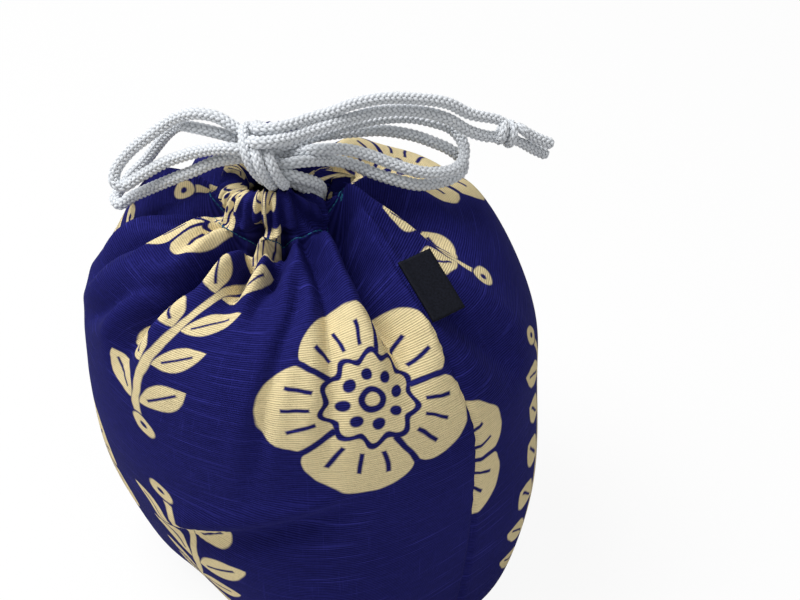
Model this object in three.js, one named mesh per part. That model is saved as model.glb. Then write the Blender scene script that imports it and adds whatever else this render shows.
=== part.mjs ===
// Drawstring pouch, filled and tied shut: a gathered cloth bag with a boxed base, a tab label caught in its
// side seam, and a cord that leaves the casing at the seam and is tied in a bow over the mouth.
// Millimetres, +Z up. The front faces -Y, and a turn is an angle from the front, positive towards +X.

import * as THREE from 'three';

// Boxed base, a rounded rectangle
const BASE_LENGTH = 158;
const BASE_DEPTH = 114;
const BASE_TURN = 40;
const BASE_EDGE = 13;
const BASE_EDGE_RISE = 10;
const BASE_SQUARENESS = 3.6;

// Where the rounded edge of the base has its middle, as shares of the edge's width and rise
const EDGE_SHARE = { length: 0.4, depth: 0.45, rise: 0.2 };

// Filled body, nearly round at the shoulder
const SHOULDER_LENGTH = 177;
const SHOULDER_DEPTH = 174;
const SHOULDER_HEIGHT = 110;
const LENGTH_SWELL = 2.4;
const DEPTH_SWELL = 1.7;

// Gathered neck, off centre, with the casing above its stitch line
const NECK_DIAMETER = 48;
const NECK_HEIGHT = 179.5;
const NECK_X = -11;
const NECK_Y = -5;
const NECK_TILT = 2;
const DOME_TILT = 4;
const DOME_TILT_RADIUS = 50;
const DOME_TILT_WIDTH = 26;
const CASING_DIAMETER = 41;
const CASING_HEIGHT = 17.5;
const CASING_FLARE = 1;
const RIM_WIDTH = 5;

// The mouth, drawn shut to a dimple
const MOUTH_DEPTH = 6;
const MOUTH_LIP = 3;

// Rows up the casing and down into the mouth, as shares of the casing's height, the rim and the mouth's depth
const CASING_ROW = { low: 0.25, middle: 0.6, high: 0.9, rimLean: 0.3 };
const MOUTH_ROW = { lip: 0.2, floor: 0.75, floorRadius: 0.6 };

// The casing's top edge is pressed down at the sides, where the bow lies, and parts at the slit
const RIM_DROP = 3.5;
const RIM_BACK_RISE = 3;
const RIM_SIDE_DROP = 4.5;
const SLIT_TURN = 86;
const SLIT_HALF_WIDTH = 21;
const SLIT_DEPTH = 10;

// Pleats around the neck
const PLEAT_COUNT = 18;
const PLEAT_DEPTH = 4;
const CASING_PLEAT_DEPTH = 2.2;
const PLEAT_SHARPNESS = 1.4;
const PLEAT_DRIFT = [{ waves: 1, amount: 1.6, start: 0.6 }, { waves: 2, amount: 1.1, start: 2 }];

// Side seam that carries the label
const SEAM_TURN = 45;
const SEAM_TWIST = 36;
const SEAM_TWIST_POWER = 1.5;
const SEAM_TWIST_STATIONS = 4.6;

// Label tab
const LABEL_LENGTH = 24.5;
const LABEL_WIDTH = 12.5;
const LABEL_THICKNESS = 0.9;
const LABEL_BELOW_NECK = 44.5;
const LABEL_SEAT = 0.7;

// Cord
const CORD_DIAMETER = 5;
const CORD_SIDES = 8;
const CORD_STEP = 11;

// Fineness of the bag's skin
const MESH_COLUMNS = 124;
const DOME_ROW_STEP = 0.3;

const clothMaterial = new THREE.MeshStandardMaterial({ color: 0x1f1a6b, roughness: 0.85, metalness: 0 });
const labelMaterial = new THREE.MeshStandardMaterial({ color: 0x101014, roughness: 0.7, metalness: 0 });
const cordMaterial = new THREE.MeshStandardMaterial({ color: 0xb9c1cb, roughness: 0.75, metalness: 0 });

const { clamp, degToRad, lerp, smoothstep } = THREE.MathUtils;
const vector = (x, y, z) => new THREE.Vector3(x, y, z);

// Meridian of the bag, from the middle of the base up to the rim and down into the mouth. Each station holds
// the half length along the base's long side, the half depth across it, and the height.
const SIDE_SHARES = [0.18, 0.46, 0.76];
const DOME_STATIONS = 5;
const halfLength = BASE_LENGTH / 2;
const halfDepth = BASE_DEPTH / 2;
const shoulderLength = SHOULDER_LENGTH / 2;
const shoulderDepth = SHOULDER_DEPTH / 2;
const neckRadius = NECK_DIAMETER / 2;
const casingRadius = CASING_DIAMETER / 2;
const rimRadius = casingRadius - RIM_WIDTH;

const stations = [
  vector(0, 0, 0),
  vector(halfLength / 2, halfDepth / 2, 0),
  vector(halfLength - BASE_EDGE, halfDepth - BASE_EDGE, 0),
  vector(
    halfLength - BASE_EDGE * EDGE_SHARE.length,
    halfDepth - BASE_EDGE * EDGE_SHARE.depth,
    BASE_EDGE_RISE * EDGE_SHARE.rise,
  ),
  vector(halfLength, halfDepth, BASE_EDGE_RISE),
];
for (const share of SIDE_SHARES) {
  stations.push(vector(
    lerp(shoulderLength, halfLength, (1 - share) ** LENGTH_SWELL),
    lerp(shoulderDepth, halfDepth, (1 - share) ** DEPTH_SWELL),
    lerp(BASE_EDGE_RISE, SHOULDER_HEIGHT, share),
  ));
}
const SHOULDER = stations.length;
stations.push(vector(shoulderLength, shoulderDepth, SHOULDER_HEIGHT));
for (let step = 1; step <= DOME_STATIONS; step++) {
  const angle = (step / (DOME_STATIONS + 0.5)) * Math.PI / 2;
  stations.push(vector(
    lerp(neckRadius, shoulderLength, Math.cos(angle)),
    lerp(neckRadius, shoulderDepth, Math.cos(angle)),
    lerp(SHOULDER_HEIGHT, NECK_HEIGHT, Math.sin(angle)),
  ));
}
const NECK = stations.length;
const casingRows = [
  [neckRadius, 0],
  [casingRadius + CASING_FLARE, CASING_HEIGHT * CASING_ROW.low],
  [casingRadius, CASING_HEIGHT * CASING_ROW.middle],
  [casingRadius - RIM_WIDTH * CASING_ROW.rimLean, CASING_HEIGHT * CASING_ROW.high],
];
const RIM = NECK + casingRows.length;
const mouthRows = [
  [rimRadius, CASING_HEIGHT],
  [rimRadius - MOUTH_LIP, CASING_HEIGHT - MOUTH_DEPTH * MOUTH_ROW.lip],
  [rimRadius * MOUTH_ROW.floorRadius, CASING_HEIGHT - MOUTH_DEPTH * MOUTH_ROW.floor],
  [0, CASING_HEIGHT - MOUTH_DEPTH],
];
for (const [radius, aboveNeck] of [...casingRows, ...mouthRows]) {
  stations.push(vector(radius, radius, NECK_HEIGHT + aboveNeck));
}
const meridian = new THREE.CatmullRomCurve3(stations, false, 'catmullrom', 0.5);
const lastStation = stations.length - 1;

// Hand-placed folds: the half width and depth of each valley, then its line from the neck down to where it
// fades, as turns and stations. The cloth swells a little along both sides of a valley.
const FOLDS = [
  { width: 9.5, depth: 8.5, line: [[-8, 14.8], [-8, 13.1], [-12, 12.3], [-29, 11.4], [-42, 10.5], [-52, 9.2]] },
  { width: 7.5, depth: 7, line: [[8, 13.6], [0, 12.2], [-12, 11.8], [-22, 11.2], [-33, 10.2]] },
  { width: 6.5, depth: 4.5, line: [[19, 13.4], [12, 12.3], [5, 11.8], [-1, 11.1]] },
  { width: 6.5, depth: 2.6, line: [[15, 12.5], [4, 11.3], [-4, 10.1], [-9, 9.1], [-16, 7.2]] },
  { width: 6.5, depth: 3.6, line: [[29, 13.4], [22, 11.8], [18, 11.1], [14, 10.2], [8, 9.2], [4, 8]] },
  { width: 7.5, depth: 10, line: [[60, 14.4], [53, 12.8], [48, 12], [41, 11.2], [36, 10.5], [29, 9.3]] },
  { width: 8, depth: 8, line: [[-30, 15], [-50, 13.8], [-60, 12.4], [-66, 11.1], [-75, 9.6]] },
  { width: 8, depth: 4, line: [[60, 11], [60, 10.2], [65, 8.4]] },
  { width: 6, depth: 7, line: [[104, 14.4], [92, 13.2], [84, 12.2], [79, 11.2]] },
  { width: 6, depth: 5, line: [[116, 14.2], [107, 12.8], [108, 11.8], [114, 10.2]] },
  { width: 7.5, depth: 4, line: [[-48, 12], [-58, 11.2], [-70, 10], [-80, 9]] },
  { width: 8, depth: 6.5, line: [[-85, 14.2], [-98, 12], [-108, 9.4]] },
  { width: 8, depth: 5.5, line: [[-120, 14.2], [-138, 11], [-142, 8.6]] },
  { width: 6, depth: 6, line: [[-158, 14.2], [-160, 9.8]] },
  { width: 7, depth: 7.5, line: [[164, 14.2], [170, 8.8]] },
  { width: 6.5, depth: 6, line: [[134, 14.2], [126, 9.4]] },
];
const FOLD = { sharpness: 1.5, swell: 0.3, swellPlace: 1.9, lowFade: 0.5, topFade: 0.3, pastTop: 0.15 };
const FOLD_SPREAD = { low: 1.25, top: 0.75 };

// Stations over which one shape passes into the next, and the heights above the shoulder and below the neck
// between which the neck's shift sets in
const BLEND = { pleatStart: 3.5, pleatEnd: 0.5, casing: 1.5, mouth: 2.5, upright: 1, neckTilt: 1 };
const SHIFT_ABOVE_SHOULDER = 5;
const SHIFT_BELOW_NECK = 2;

// Tuck across the front where the filling ends and the cloth turns in towards the base
const TUCK = { turn: -17, halfSpan: 34, fade: 20, station: 7.2, slope: 0.028, width: 0.45, depth: 3 };

// Sideways angle between two turns, from -180 to 180 degrees
function turnBetween(a, b) {
  return ((a - b + 540) % 360) - 180;
}

// A valley with a low ridge along each side, at a distance measured in half widths
function foldSection(distance) {
  const swell = Math.exp(-((distance - FOLD.swellPlace) ** 2));
  return Math.exp(-(distance ** FOLD.sharpness)) - FOLD.swell * swell;
}

// Turn of a fold's line at a station, level above its top and below its foot
function foldTurn(line, station) {
  for (let index = 1; index < line.length; index++) {
    const [highTurn, high] = line[index - 1];
    const [lowTurn, low] = line[index];
    if (station >= low) {
      return lerp(lowTurn, highTurn, clamp((station - low) / (high - low), 0, 1));
    }
  }
  return line[line.length - 1][0];
}

function foldDepth(turn, station, radius) {
  let depth = 0;
  for (const { width, depth: deepest, line } of FOLDS) {
    const top = line[0][1];
    const low = line[line.length - 1][1];
    const along = (station - low) / (top - low);
    const fade = smoothstep(along, 0, FOLD.lowFade) * smoothstep(1 + FOLD.pastTop - along, 0, FOLD.topFade);
    const spread = width * lerp(FOLD_SPREAD.low, FOLD_SPREAD.top, clamp(along, 0, 1));
    const away = Math.abs(degToRad(turnBetween(turn, foldTurn(line, station)))) * radius;
    depth += deepest * fade * foldSection(away / spread);
  }
  return depth;
}

function tuckDepth(turn, station) {
  const across = turnBetween(turn, TUCK.turn);
  const fade = smoothstep(TUCK.halfSpan - Math.abs(across), 0, TUCK.fade);
  const above = (station - TUCK.station - across * TUCK.slope) / TUCK.width;
  return -TUCK.depth * fade * above * Math.exp(0.5 - above ** 2);
}

// Pleats of uneven width, from nothing on the dome to full depth at the neck
function pleatDepth(turn, station) {
  const angle = degToRad(turn);
  let phase = PLEAT_COUNT * angle;
  for (const { waves, amount, start } of PLEAT_DRIFT) {
    phase += amount * Math.sin(waves * angle + start);
  }
  const valley = (0.5 - 0.5 * Math.cos(phase)) ** PLEAT_SHARPNESS;
  const dome = smoothstep(station, NECK - BLEND.pleatStart, NECK - BLEND.pleatEnd);
  const casing = smoothstep(station, NECK, NECK + BLEND.casing);
  return valley * (PLEAT_DEPTH * dome * (1 - casing) + CASING_PLEAT_DEPTH * casing);
}

function rimLift(turn) {
  const angle = degToRad(turn);
  const wave = RIM_SIDE_DROP * Math.cos(2 * angle) - RIM_BACK_RISE * Math.cos(angle);
  const slit = Math.exp(-((turnBetween(turn, SLIT_TURN) / SLIT_HALF_WIDTH) ** 2));
  return wave - RIM_DROP - SLIT_DEPTH * slit;
}

// A point of the cloth's outside, from its turn in degrees and its station along the meridian
const MERIDIAN_STEP = 0.004;

function clothPoint(turn, station) {
  const share = clamp(station / lastStation, 0, 1);
  const here = meridian.getPoint(share);
  const below = meridian.getPoint(clamp(share - MERIDIAN_STEP, 0, 1));
  const above = meridian.getPoint(clamp(share + MERIDIAN_STEP, 0, 1));
  const angle = degToRad(turn);
  const baseAngle = degToRad(turn - BASE_TURN);

  // Section: a superellipse at the base that becomes round at the shoulder
  const roundness = smoothstep(here.z, 0, SHOULDER_HEIGHT);
  const power = station < SHOULDER ? lerp(BASE_SQUARENESS, 2, roundness) : 2;
  const length = Math.max(here.x, 1e-9);
  const depth = Math.max(here.y, 1e-9);
  const radius = (Math.abs(Math.cos(baseAngle) / length) ** power
    + Math.abs(Math.sin(baseAngle) / depth) ** power) ** (-1 / power);

  // Outward direction in the meridian's plane, level around the casing and the mouth
  const rise = above.z - below.z;
  const run = above.x - below.x;
  const slope = Math.hypot(rise, run);
  const upright = smoothstep(station, NECK, NECK + BLEND.upright);
  const outward = lerp(rise / slope, 1, upright);
  const upward = lerp(-run / slope, 0, upright);

  const inside = smoothstep(station, RIM, RIM + BLEND.mouth);
  const sink = (foldDepth(turn, station, radius) + pleatDepth(turn, station)) * (1 - inside)
    + tuckDepth(turn, station);
  const dressed = Math.max(radius - outward * sink, 0);

  // The neck sits off centre, the dome rises to the back, and the casing follows its rim
  const shiftStart = SHOULDER_HEIGHT + SHIFT_ABOVE_SHOULDER;
  const shift = station < SHOULDER ? 0 : smoothstep(here.z, shiftStart, NECK_HEIGHT - SHIFT_BELOW_NECK);
  const neckShift = station > NECK ? 1 : shift;
  const onDome = station >= SHOULDER && station <= NECK;
  const domeTilt = onDome ? DOME_TILT * Math.exp(-(((radius - DOME_TILT_RADIUS) / DOME_TILT_WIDTH) ** 2)) : 0;
  const atNeck = smoothstep(station, NECK - BLEND.neckTilt, NECK + BLEND.neckTilt);
  const neckTilt = NECK_TILT * atNeck * clamp(radius / rimRadius, 0, 1);
  const casingShare = clamp((here.z - NECK_HEIGHT) / CASING_HEIGHT, 0, 1);
  const lift = station > NECK ? rimLift(turn) * casingShare * clamp(radius / rimRadius, 0, 1) : 0;
  const tilt = domeTilt + neckTilt;
  return vector(
    NECK_X * neckShift + dressed * Math.sin(angle),
    NECK_Y * neckShift - dressed * Math.cos(angle),
    Math.max(here.z - upward * sink - tilt * Math.cos(angle) + lift, 0),
  );
}

// Bag: the meridian turned into a closed skin whose every vertex lies on the folded cloth
const MESH_ROWS = [0, 2, 3, 3.5, 4, 4.5, 5, 6, 6.6, 7.1, 7.5];
for (let row = SHOULDER; row < NECK + 1; row += DOME_ROW_STEP) {
  MESH_ROWS.push(row);
}
for (let row = NECK + 1; row <= lastStation; row++) {
  MESH_ROWS.push(row);
}

// Columns of the skin fan out from the neck with the folds, most of all at the front left
const FAN_TURN = -30;
const FAN_HALF_WIDTH = 32;
const FAN_DRIFT = -30;
const TWIST_DRIFT = -8;

function columnTurn(column, station) {
  const start = turnBetween((column / MESH_COLUMNS) * 360, 0);
  const fan = FAN_DRIFT * Math.exp(-((turnBetween(start, FAN_TURN) / FAN_HALF_WIDTH) ** 2));
  const fromNeck = clamp((NECK - station) / (NECK - SHOULDER - 1), 0, 1);
  return start + (fan + TWIST_DRIFT) * fromNeck;
}

function bagGeometry() {
  const profile = MESH_ROWS.map((row) => {
    const point = meridian.getPoint(row / lastStation);
    return new THREE.Vector2(point.x, point.z);
  });
  const geometry = new THREE.LatheGeometry(profile, MESH_COLUMNS);
  const positions = geometry.attributes.position;
  for (let index = 0; index < positions.count; index++) {
    const column = Math.floor(index / MESH_ROWS.length) % MESH_COLUMNS;
    const row = MESH_ROWS[index % MESH_ROWS.length];
    const point = clothPoint(columnTurn(column, row), row);
    positions.setXYZ(index, point.x, point.y, point.z);
  }
  geometry.computeVertexNormals();
  return geometry;
}

// The seam runs up the side and turns with the gathers near the neck
function seamTurn(station) {
  const share = clamp((station - NECK) / SEAM_TWIST_STATIONS + 1, 0, 1);
  return SEAM_TURN + SEAM_TWIST * share ** SEAM_TWIST_POWER;
}

// Label: a short tape that lies on the cloth, with one long edge in the seam
function labelGeometry() {
  const ACROSS = 4;
  const ALONG = 6;
  const step = 0.05;
  const turnStep = 2;

  // Station at the label's middle, found by walking down the meridian from the neck
  let middle = NECK;
  let walked = 0;
  while (walked < LABEL_BELOW_NECK && middle > SHOULDER) {
    middle -= step;
    const higher = meridian.getPoint((middle + step) / lastStation);
    const lower = meridian.getPoint(middle / lastStation);
    walked += Math.hypot(lower.x - higher.x, lower.z - higher.z);
  }
  const place = clothPoint(seamTurn(middle), middle);

  // Directions down the seam, around the bag and away from the cloth
  const upSeam = clothPoint(seamTurn(middle + step), middle + step)
    .sub(clothPoint(seamTurn(middle - step), middle - step)).divideScalar(2 * step);
  const around = clothPoint(seamTurn(middle) + turnStep, middle).sub(place).divideScalar(turnStep);
  const away = around.clone().cross(upSeam).normalize();
  const along = upSeam.clone().normalize();
  const drift = around.dot(along);
  const square = around.clone().addScaledVector(along, -drift).length();

  const geometry = new THREE.BoxGeometry(LABEL_WIDTH, LABEL_LENGTH, LABEL_THICKNESS, ACROSS, ALONG, 1);
  geometry.deleteAttribute('normal');
  geometry.deleteAttribute('uv');
  const positions = geometry.attributes.position;
  for (let index = 0; index < positions.count; index++) {
    const turned = (positions.getX(index) + LABEL_WIDTH / 2) / square;
    const station = middle + (positions.getY(index) - turned * drift) / upSeam.length();
    const lift = LABEL_SEAT + LABEL_THICKNESS / 2 + positions.getZ(index);
    const point = clothPoint(seamTurn(station) + turned, station).addScaledVector(away, lift);
    positions.setXYZ(index, point.x, point.y, point.z);
  }
  geometry.computeVertexNormals();
  return geometry;
}

// Cord: plain tubes along routes chosen by hand, between the bow's knot and the end knot
const CORD_ROUTES = {
  cord_standing_a: [[10.5, -10.5, 183.5], [3, -10.5, 189.5], [-5, -12.5, 196.5]],
  cord_standing_b: [[10.5, -4.5, 183.5], [3, -4.5, 189], [-6.5, -7, 195]],
  left_loop_a: [
    [-24.5, -1, 208], [-31, 1, 211], [-39.5, 3, 211], [-47, 5.5, 207], [-55.5, 5, 201], [-64, 5.5, 193.5],
    [-69.5, 4, 186.5], [-70, 2, 183], [-67, 0.5, 182], [-61, 2, 185], [-52, 1.5, 191], [-43, -0.5, 196],
    [-34.5, -3.5, 200], [-25.5, -8, 203.5],
  ],
  left_loop_b: [
    [-23.5, 0.5, 202], [-34, 3, 204], [-40.5, 5.5, 204], [-45.5, 10, 202], [-50.5, 13, 197],
    [-55.5, 15.5, 190], [-60.5, 18, 182.5], [-67, 18.5, 175.5], [-71.5, 15.5, 170.5], [-73, 12, 169],
    [-70.5, 8, 169], [-65.5, 7, 173], [-57.5, 4.5, 178.5], [-48.5, 1.5, 184.5], [-39.5, -1, 190],
    [-32, -2.5, 194.5], [-22.5, -6, 198.5],
  ],
  right_loop_a: [
    [-1, -3, 204], [9, 3, 204], [16.5, 8.5, 203.5], [27, 14, 202.5], [37.5, 18, 200.5], [46, 19, 198],
    [53, 20.5, 194], [57, 17, 190], [57, 11.5, 187], [54, 6, 186], [45.5, 1, 187.5], [37.5, -1.5, 190.5],
    [30, -1.5, 193.5], [22, -1.5, 197], [14, -3, 200], [6, -7, 202.5], [-1, -11.5, 204.5],
  ],
  right_loop_b: [
    [-2.5, 2.5, 200.5], [8.5, 8, 199.5], [16.5, 12, 198], [27, 15.5, 196.5], [38, 18, 193], [46, 19.5, 189],
    [52.5, 20.5, 185], [57, 19, 181.5], [57, 14.5, 180], [53, 9, 180], [48.5, 5.5, 180.5], [40.5, 0, 183],
    [32.5, -1.5, 186], [24.5, -1.5, 189], [16.5, -1, 192.5], [9, -3, 195.5], [-2, -10, 199.5],
  ],
  tail_a: [
    [-4.8, -9.5, 213.6], [1, -6.5, 214.5], [9.5, -3, 215], [17, 1, 216], [27.5, 5, 216], [40, 9, 213.5],
    [51, 13, 209.5], [59, 15.5, 204.5], [69, 17.8, 197],
  ],
  tail_b: [
    [-2.2, -9, 208.5], [9.5, -2.5, 209.5], [17, 3, 210], [27, 6.5, 210], [40.5, 10.5, 207.5],
    [51, 12.5, 203.2], [59, 14.5, 197.8], [66.5, 16.5, 193],
  ],
  cord_end_a: [[79, 20, 192], [84.5, 21, 189], [90.5, 22.5, 186]],
  cord_end_b: [[76.5, 21.5, 187.5], [83.5, 23.5, 183], [89.5, 25.5, 179.5]],
};

function tubeGeometry(route) {
  const points = route.map((point) => vector(...point));
  const path = new THREE.CatmullRomCurve3(points, false, 'catmullrom', 0.5);
  const ring = [];
  for (let side = 0; side < CORD_SIDES; side++) {
    const angle = (side / CORD_SIDES) * 2 * Math.PI;
    ring.push(new THREE.Vector2(Math.cos(angle), Math.sin(angle)).multiplyScalar(CORD_DIAMETER / 2));
  }
  const steps = Math.max(2, Math.round(path.getLength() / CORD_STEP));
  return new THREE.ExtrudeGeometry(new THREE.Shape(ring), { steps, extrudePath: path, bevelEnabled: false });
}

// Knots: plain solids of their outer shape, as half sizes about a middle
const KNOTS = {
  bow_knot: { middle: [-13.5, -9.5, 204.5], half: [11, 10, 11], lean: -0.35 },
  end_knot: { middle: [73, 19, 192.5], half: [5.6, 5.2, 5.2], lean: 0 },
};

function knotMesh(name) {
  const { middle, half, lean } = KNOTS[name];
  const mesh = new THREE.Mesh(new THREE.SphereGeometry(1, 16, 12), cordMaterial.clone());
  mesh.name = name;
  mesh.scale.set(...half);
  mesh.rotation.y = lean;
  mesh.position.set(...middle);
  return mesh;
}

function namedMesh(name, geometry, material) {
  const mesh = new THREE.Mesh(geometry, material.clone());
  mesh.name = name;
  return mesh;
}

const pouch = new THREE.Group();
pouch.add(namedMesh('bag_body', bagGeometry(), clothMaterial));
pouch.add(namedMesh('label_tab', labelGeometry(), labelMaterial));
for (const [name, route] of Object.entries(CORD_ROUTES)) {
  pouch.add(namedMesh(name, tubeGeometry(route), cordMaterial));
}
for (const name of Object.keys(KNOTS)) {
  pouch.add(knotMesh(name));
}

export default pouch;
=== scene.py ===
from math import cos, pi, radians, sin, tau

import bpy
import numpy as np
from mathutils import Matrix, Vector


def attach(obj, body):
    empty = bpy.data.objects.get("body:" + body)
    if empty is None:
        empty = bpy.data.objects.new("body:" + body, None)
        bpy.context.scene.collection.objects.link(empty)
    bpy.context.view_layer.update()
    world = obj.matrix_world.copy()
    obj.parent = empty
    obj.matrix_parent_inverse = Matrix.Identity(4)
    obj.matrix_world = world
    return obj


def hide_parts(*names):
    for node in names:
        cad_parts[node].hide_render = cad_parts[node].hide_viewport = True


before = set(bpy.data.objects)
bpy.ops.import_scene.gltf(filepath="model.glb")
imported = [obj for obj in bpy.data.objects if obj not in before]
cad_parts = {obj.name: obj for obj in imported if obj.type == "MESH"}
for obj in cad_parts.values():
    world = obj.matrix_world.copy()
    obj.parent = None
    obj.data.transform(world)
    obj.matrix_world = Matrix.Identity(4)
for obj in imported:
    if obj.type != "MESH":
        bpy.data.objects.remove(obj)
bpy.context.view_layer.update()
scene = bpy.context.scene
scene.view_settings.view_transform = "Standard"


# Camera
# The pouch is seen from in front and from well above, through a short telephoto lens.
IMAGE_WIDTH = 800
FOCAL_PIXELS = 1485
CAMERA_DOWN = radians(38)
CAMERA_DISTANCE = 0.571
CAMERA_AIM = Vector((0.0338, 0.0, 0.130))

camera = bpy.data.objects.new("camera", bpy.data.cameras.new("camera"))
camera.data.sensor_width = 36
camera.data.lens = FOCAL_PIXELS / IMAGE_WIDTH * camera.data.sensor_width
camera.location = CAMERA_AIM + CAMERA_DISTANCE * Vector((0, -cos(CAMERA_DOWN), sin(CAMERA_DOWN)))
camera.rotation_euler = (pi / 2 - CAMERA_DOWN, 0, 0)
scene.collection.objects.link(camera)
scene.camera = camera


# Drawcord
# One soft plaited cord of pale grey yarn, 5 mm thick. Its two halves leave the slit in the casing side by
# side, are tied in a bow over the mouth and knotted to each other at the far end, with the tips melted shut.
MM = 0.001
CORD_CORE = 1.35 * MM
PLAIT_COLUMNS = 8
PLAIT_STITCH = 2.1 * MM
PLAIT_HEIGHT = 0.97 * MM
PLAIT_LEAN = 0.35
PLAIT_WIDE = 0.66
PLAIT_LONG = 0.52
SIDES_PER_COLUMN = 6
RINGS_PER_STITCH = 6
TIP_LENGTH = 2 * MM
KNOT_PINCH = 0.84
ROUTE_SOFTNESS = 1.5 * MM
CORD_COLOUR = (0.745, 0.775, 0.81)
# The colour of the painted shade in the clefts between the stitches.
CORD_PAINTED_SHADE = (0.34, 0.357, 0.387)
CORD_ROUGHNESS = 0.75
FIBRE_SCALE = 2600.0
WEAR_SCALE = 420.0
END_KNOT_START = np.array((69.8, 18, 195.3))
END_KNOT_AXIS = np.array((0.864, 0.18, -0.468))
END_KNOT_RADIUS = 3.5
END_KNOT_PITCH = 4.1


def turns_round(start, axis, radius, pitch, from_degrees, to_degrees, step=45):
    """Points of a wrap round an axis, from its top over the front and down."""
    up = np.array((0, 0, 1)) - axis * axis[2]
    up = up / np.linalg.norm(up)
    front = np.cross(axis, up)
    angles = np.radians(np.arange(from_degrees, to_degrees + 1, step))
    return [tuple(start + axis * pitch * angle / tau + radius * (cos(angle) * up + sin(angle) * front))
            for angle in angles]


# Route points in millimetres, from inside the slit to the tip.
CORD_A = {
    "standing": [(0.4, 0.2, 173.1), (2.9, -3.1, 176.9), (4.1, -6, 180.6), (3.5, -7.8, 184), (0.9, -8.5, 187),
                 (-2.4, -9.7, 189.7), (-5.4, -9.3, 191), (-8.1, -6.8, 191.7), (-12.4, -3.5, 195.9),
                 (-18.3, -3.1, 204.6)],
    "left loop": [(-24.5, -1, 208), (-31, 1, 211), (-39.5, 3, 211), (-47, 5.5, 207), (-55.5, 5, 201),
                  (-64, 5.5, 193.5), (-69.5, 4, 186.5), (-70, 2, 183), (-67, 0.5, 182), (-61, 2, 185),
                  (-52, 1.5, 191), (-43, -0.5, 196), (-34.5, -3.5, 200), (-25.5, -8, 203.5)],
    "core": [(-17, -9, 203), (-8, -6, 203.5)],
    "right loop": [(-1, -3, 204), (9, 3, 204), (16.5, 8.5, 203.5), (27, 14, 202.5), (37.5, 18, 200.5),
                   (46, 19, 198), (53, 20.5, 194), (57, 17, 190), (57, 11.5, 187), (54, 6, 186),
                   (45.5, 1, 187.5), (37.5, -1.5, 190.5), (30, -1.5, 193.5), (22, -1.5, 197), (14, -3, 200),
                   (5.9, -5.5, 201.5), (-1.4, -5, 200.5)],
    "first band": [(-8.1, -3.9, 198.7), (-14.8, -5.2, 201.9), (-19.3, -3.5, 206), (-18.8, -5.5, 211),
                   (-20.2, -9.9, 212.6), (-19.9, -15.1, 211.2), (-19.2, -18.2, 208.7), (-18.1, -19.5, 205.5),
                   (-16.7, -19.2, 201.9), (-14.9, -17.4, 197.7), (-13.6, -14.8, 194.7),
                   (-12.7, -10.5, 193.5), (-12.4, -4.2, 195)],
    "last band": [(-8.5, -2.5, 201.5), (-11, -5.5, 207), (-11.8, -12.5, 209), (-11.8, -17.6, 208.7),
                  (-10.5, -20.8, 206.6), (-9.1, -21.6, 202.4), (-7.4, -19.9, 197.4), (-6.5, -16.6, 193.7),
                  (-6.9, -11.9, 192.5), (-8.8, -5.3, 193.6)],
    "tail": [(-6, -2.5, 202), (-12, -3.5, 208), (-16, -8.5, 212.8), (-14.5, -13.5, 214.8),
             (-10, -14, 215.2), (-4, -11, 215), (1.5, -7, 214.8), (9.5, -3, 215), (17, 1, 216),
             (27.5, 5, 216), (40, 9, 213.5), (51, 13, 209.3), (59, 15.5, 203.5)],
    "end knot": turns_round(END_KNOT_START, END_KNOT_AXIS, END_KNOT_RADIUS, END_KNOT_PITCH, 0, 720),
    "tip": [(82.5, 20.7, 191), (86.5, 21.5, 188.5), (91, 22.5, 186)],
}
CORD_B = {
    "standing": [(3.1, 0.2, 175.5), (4.8, -3, 180.3), (5.4, -5.4, 184.6), (4.8, -8.1, 188.4),
                 (2.5, -10.3, 191.3), (-0.9, -12.2, 193.9), (-4.5, -11.9, 195), (-7.5, -9.3, 195),
                 (-10.5, -5.5, 195), (-15.2, -2.2, 198.4)],
    "left loop": [(-23.5, 0.5, 202), (-34, 3, 204), (-40.5, 5.5, 204), (-45.5, 10, 202), (-50.5, 13, 197),
                  (-55.5, 15.5, 190), (-60.5, 18, 182.5), (-67, 18.5, 175.5), (-71.5, 15.5, 170.5),
                  (-73, 12, 169), (-70.5, 8, 169), (-65.5, 7, 173), (-57.5, 4.5, 178.5),
                  (-48.5, 1.5, 184.5), (-39.5, -1, 190), (-32, -2.5, 194.5), (-22.5, -6, 198.5)],
    "core": [(-14, -6.5, 200), (-8, -1, 200.5)],
    "right loop": [(-2.5, 2.5, 200.5), (8.5, 8, 199.5), (16.5, 12, 198), (27, 15.5, 196.5), (38, 18, 193),
                   (46, 19.5, 189), (52.5, 20.5, 185), (57, 19, 181.5), (57, 14.5, 180), (53, 9, 180),
                   (48.5, 5.5, 180.5), (40.5, 0, 183), (32.5, -1.5, 186), (24.5, -1.5, 189),
                   (16.5, -1, 192.5), (9, -3, 195.5), (-2, -10.1, 199.3)],
    "middle band": [(-7.3, -9.8, 198.4), (-12.1, -5.2, 198.6), (-14.5, -4, 205.5), (-14, -8, 208),
                    (-16.2, -14.5, 209.4), (-15.5, -19.4, 208.9), (-14.6, -21.9, 206.5),
                    (-13.5, -22.2, 202.6), (-11.9, -20.1, 197.5), (-10.6, -16.7, 193.6),
                    (-10.2, -12, 192.4), (-11.3, -5.3, 193.6)],
    "tail": [(-10, -5, 203), (-15, -9.5, 207), (-17, -15.5, 211), (-14.8, -19, 212.8), (-10, -18.5, 212.8),
             (-3, -13.7, 211.6), (2.4, -9.7, 211.5), (9.6, -5.5, 211.7), (16, -0.2, 210.7), (27, 6.5, 210),
             (40.5, 10.5, 207.5), (51, 12.5, 203.2), (59, 14.5, 196.8), (66, 17, 193)],
    "end knot": [(73, 18.8, 191.6), (78.5, 20.5, 188.2)],
    "tip": [(83.5, 23, 184), (89.5, 25.5, 179.5)],
}


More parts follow.
